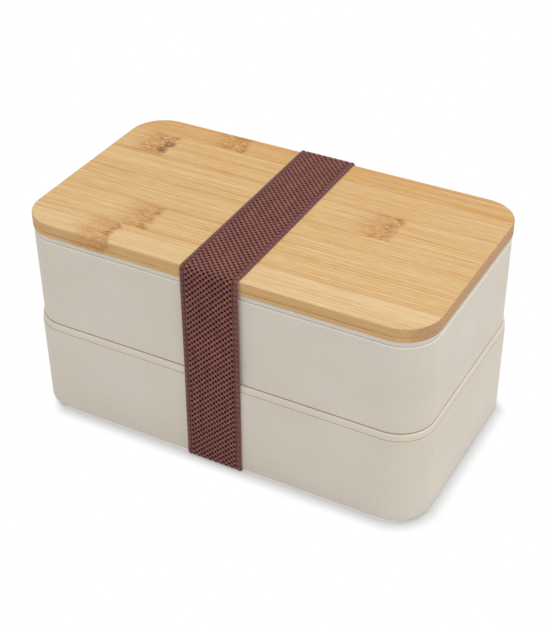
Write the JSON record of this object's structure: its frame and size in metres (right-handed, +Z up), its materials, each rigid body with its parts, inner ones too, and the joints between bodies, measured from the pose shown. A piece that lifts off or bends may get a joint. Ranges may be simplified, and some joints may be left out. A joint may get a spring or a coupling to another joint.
{
  "type": "bento lunch box",
  "caption": "Stacked lunch box of beige moulded containers under a bamboo lid with a white gasket, held together by a woven brown elastic strap.",
  "frame": {"origin": "on the surface the box stands on, under the middle of the lid's outline", "axes": "+X along the box, +Y from the front to the back where the strap is sewn, +Z up"},
  "size_m": [0.1862, 0.1094, 0.0978],
  "materials": {
    "bamboo": "oiled laminated bamboo, satin",
    "seal": "white silicone, matt",
    "container": "warm beige polypropylene, matt",
    "middle_lid": "cream polypropylene, matt",
    "strap": "maroon-brown woven elastic",
    "thread": "polyester sewing thread"
  },
  "bodies": {
    "lower_box": {"lower_container": "container"},
    "middle_lid": {"middle_lid": "middle_lid"},
    "upper_box": {"upper_container": "container"},
    "lid": {"bamboo_lid": "bamboo", "lid_seal": "seal"},
    "strap": {"elastic_strap": "strap", "strap_stitching": "thread"}
  },
  "joints": [
    {"name": "lid_lift", "type": "slide", "parent": "upper_box", "child": "lid", "axis": [0, 0, 1], "range_m": [0, 0.06]},
    {"name": "upper_box_lift", "type": "slide", "parent": "middle_lid", "child": "upper_box", "axis": [0, 0, 1], "range_m": [0, 0.06]},
    {"name": "middle_lid_lift", "type": "slide", "parent": "lower_box", "child": "middle_lid", "axis": [0, 0, 1], "range_m": [0, 0.06]},
    {"name": "strap_off", "type": "slide", "parent": "lower_box", "child": "strap", "axis": [1, 0, 0], "range_m": [0, 0.126], "deforming": ["elastic_strap"]}
  ],
  "couplings": [
    {"joint": "upper_box_lift", "follows": "lid_lift", "ratio": 1},
    {"joint": "middle_lid_lift", "follows": "lid_lift", "ratio": 1},
    {"joint": "strap_off", "follows": "lid_lift", "ratio": 2.1}
  ]
}
